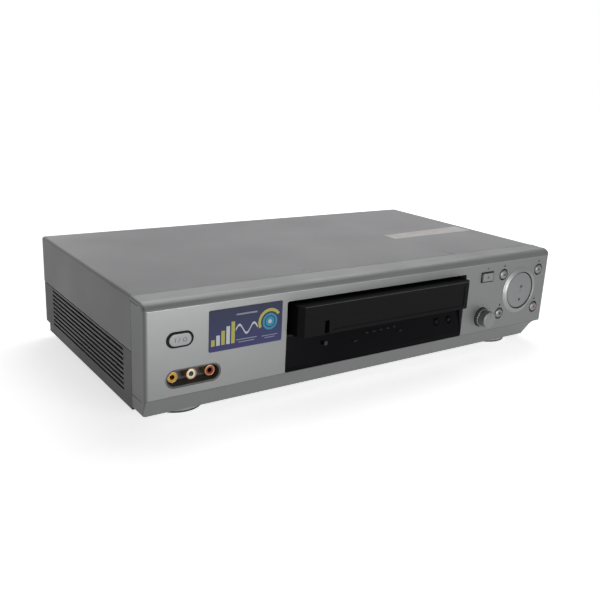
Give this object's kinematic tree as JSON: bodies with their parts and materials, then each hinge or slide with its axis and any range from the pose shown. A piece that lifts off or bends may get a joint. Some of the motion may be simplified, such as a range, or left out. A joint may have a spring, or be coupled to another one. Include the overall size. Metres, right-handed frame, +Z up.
{
  "type": "video cassette recorder",
  "caption": "Front-loading video cassette recorder: vented housing, moulded front with keys, dial and sockets, and a cassette standing in its slot over a full tape deck.",
  "frame": {"origin": "middle of the footprint, on the surface that the feet stand on", "axes": "+X to the right as the user faces the front, +Y to the back, +Z up"},
  "size_m": [0.43, 0.255, 0.096],
  "materials": {
    "silver_paint": "satin silver-grey paint on moulded plastic",
    "cover_paint": "satin grey paint on steel sheet",
    "frame_plastic": "fine-grained grey moulding",
    "black_plastic": "fine-grained black moulding",
    "window_plastic": "dark smoked acrylic",
    "display_glass": "clear glass over a dark grid",
    "key_silver": "silver lacquer",
    "ring_silver": "bright silver lacquer",
    "channel_black": "black key in the window",
    "gold_plate": "thin gold plating",
    "insert_yellow": "coloured insert",
    "insert_white": "coloured insert",
    "insert_red": "coloured insert",
    "bright_metal": "nickel plating",
    "rear_sheet": "dark grey paint on steel sheet",
    "foot_plastic": "silver-grey moulding",
    "circuit_board": "lacquered laminate",
    "zinc_sheet": "zinc-plated sheet",
    "core_steel": "varnished laminations with a taped winding",
    "can_sleeve": "dark sleeve",
    "drum_metal": "turned aluminium",
    "motor_steel": "plated steel",
    "roller_rubber": "ground rubber",
    "spindle_plastic": "black moulding",
    "cassette_plastic": "fine-grained black moulding",
    "reel_plastic": "white moulding with dark tape"
  },
  "bodies": {
    "chassis": {"aerial_sockets": "bright_metal", "av_recess": "frame_plastic", "bay_frame": "black_plastic", "capacitors": "can_sleeve", "capstan_motor": "motor_steel", "carriage_frame": "zinc_sheet", "control_head": "motor_steel", "cover_screws": "bright_metal", "deck_plate": "zinc_sheet", "display_tube": "display_glass", "display_window": "window_plastic", "erase_head": "motor_steel", "feet": "foot_plastic", "front_bezel": "silver_paint", "front_boards": "circuit_board", "inlet_pins": "bright_metal", "jack_shells": "gold_plate", "key_switches": "black_plastic", "left_jack_inserts": "insert_white", "loading_motor": "motor_steel", "lower_drum": "drum_metal", "main_board": "circuit_board", "main_frame": "frame_plastic", "mains_inlet": "black_plastic", "play_ring": "ring_silver", "power_surround": "black_plastic", "rear_jack_block": "black_plastic", "rear_panel": "rear_sheet", "right_jack_inserts": "insert_red", "tape_guides": "bright_metal", "timer_encoder": "black_plastic", "top_cover": "cover_paint", "transformer": "core_steel", "tuner_can": "zinc_sheet", "video_jack_inserts": "insert_yellow"},
    "cassette_holder": {"cassette_holder": "zinc_sheet"},
    "cassette": {"cassette_base": "cassette_plastic", "cassette_top": "cassette_plastic"},
    "cassette_lid": {"cassette_lid": "cassette_plastic"},
    "supply_reel": {"supply_reel": "reel_plastic"},
    "takeup_reel": {"takeup_reel": "reel_plastic"},
    "cassette_flap": {"cassette_flap": "black_plastic"},
    "timer_plunger": {"timer_plunger": "bright_metal"},
    "timer_knob": {"timer_knob": "key_silver"},
    "upper_drum": {"upper_drum": "drum_metal"},
    "capstan": {"capstan": "motor_steel"},
    "pinch_arm": {"pinch_arm": "motor_steel"},
    "pinch_roller": {"pinch_roller": "roller_rubber"},
    "supply_spindle": {"supply_spindle": "spindle_plastic"},
    "takeup_spindle": {"takeup_spindle": "spindle_plastic"},
    "play_disc": {"play_disc": "key_silver"},
    "power_button": {"power_button": "key_silver"},
    "eject_button": {"eject_button": "key_silver"},
    "rewind_button": {"rewind_button": "key_silver"},
    "forward_button": {"forward_button": "key_silver"},
    "stop_button": {"stop_button": "key_silver"},
    "record_button": {"record_button": "key_silver"},
    "channel_down_button": {"channel_down_button": "channel_black"},
    "channel_up_button": {"channel_up_button": "channel_black"}
  },
  "joints": [
    {"name": "holder_slide", "type": "slide", "parent": "chassis", "child": "cassette_holder", "axis": [0, 1, 0], "range_m": [0, 0.045]},
    {"name": "cassette_pull", "type": "slide", "parent": "cassette_holder", "child": "cassette", "axis": [0, 1, 0], "range_m": [-0.15, 0]},
    {"name": "lid_hinge", "type": "hinge", "parent": "cassette", "child": "cassette_lid", "pos_m": [0.0015, -0.0375, 0.0786], "axis": [1, 0, 0], "range_deg": [0, 85], "stiffness_Nm_per_rad": 0.01, "springref_deg": -28.65},
    {"name": "supply_reel_turn", "type": "hinge", "parent": "cassette", "child": "supply_reel", "pos_m": [-0.0445, -0.082, 0.0548], "axis": [0, 0, 1], "continuous": true},
    {"name": "takeup_reel_turn", "type": "hinge", "parent": "cassette", "child": "takeup_reel", "pos_m": [0.0475, -0.082, 0.0548], "axis": [0, 0, 1], "continuous": true},
    {"name": "flap_hinge", "type": "hinge", "parent": "chassis", "child": "cassette_flap", "pos_m": [0.0015, -0.1085, 0.0812], "axis": [1, 0, 0], "range_deg": [0, 12], "stiffness_Nm_per_rad": 0.01, "springref_deg": -45.84},
    {"name": "timer_push", "type": "slide", "parent": "chassis", "child": "timer_plunger", "axis": [0, 1, 0], "range_m": [0, 0.001], "stiffness_N_per_m": 400},
    {"name": "timer_turn", "type": "hinge", "parent": "timer_plunger", "child": "timer_knob", "pos_m": [0.126, -0.1155, 0.038], "axis": [0, 1, 0], "continuous": true},
    {"name": "drum_spin", "type": "hinge", "parent": "chassis", "child": "upper_drum", "pos_m": [0.0015, 0.0625, 0.034], "axis": [0, 0.1045, 0.9945], "continuous": true},
    {"name": "capstan_spin", "type": "hinge", "parent": "chassis", "child": "capstan", "pos_m": [0.0435, 0.0105, 0.02], "axis": [0, 0, 1], "continuous": true},
    {"name": "pinch_swing", "type": "hinge", "parent": "chassis", "child": "pinch_arm", "pos_m": [0.0715, 0.0245, 0.035], "axis": [0, 0, 1], "range_deg": [0, 25]},
    {"name": "pinch_roll", "type": "hinge", "parent": "pinch_arm", "child": "pinch_roller", "pos_m": [0.04612, 0.02784, 0.038], "axis": [0, 0, 1], "continuous": true},
    {"name": "supply_spindle_turn", "type": "hinge", "parent": "chassis", "child": "supply_spindle", "pos_m": [-0.0445, -0.037, 0.03], "axis": [0, 0, 1], "continuous": true},
    {"name": "takeup_spindle_turn", "type": "hinge", "parent": "chassis", "child": "takeup_spindle", "pos_m": [0.0475, -0.037, 0.03], "axis": [0, 0, 1], "continuous": true},
    {"name": "play_press", "type": "slide", "parent": "chassis", "child": "play_disc", "axis": [0, 1, 0], "range_m": [0, 0.0012], "stiffness_N_per_m": 500},
    {"name": "power_press", "type": "slide", "parent": "chassis", "child": "power_button", "axis": [0, 1, 0], "range_m": [0, 0.0012], "stiffness_N_per_m": 400},
    {"name": "eject_press", "type": "slide", "parent": "chassis", "child": "eject_button", "axis": [0, 1, 0], "range_m": [0, 0.0012], "stiffness_N_per_m": 400},
    {"name": "rewind_press", "type": "slide", "parent": "chassis", "child": "rewind_button", "axis": [0, 1, 0], "range_m": [0, 0.0012], "stiffness_N_per_m": 400},
    {"name": "forward_press", "type": "slide", "parent": "chassis", "child": "forward_button", "axis": [0, 1, 0], "range_m": [0, 0.0012], "stiffness_N_per_m": 400},
    {"name": "stop_press", "type": "slide", "parent": "chassis", "child": "stop_button", "axis": [0, 1, 0], "range_m": [0, 0.0012], "stiffness_N_per_m": 400},
    {"name": "record_press", "type": "slide", "parent": "chassis", "child": "record_button", "axis": [0, 1, 0], "range_m": [0, 0.0012], "stiffness_N_per_m": 400},
    {"name": "channel_down_press", "type": "slide", "parent": "chassis", "child": "channel_down_button", "axis": [0, 1, 0], "range_m": [0, 0.0012], "stiffness_N_per_m": 400},
    {"name": "channel_up_press", "type": "slide", "parent": "chassis", "child": "channel_up_button", "axis": [0, 1, 0], "range_m": [0, 0.0012], "stiffness_N_per_m": 400}
  ]
}
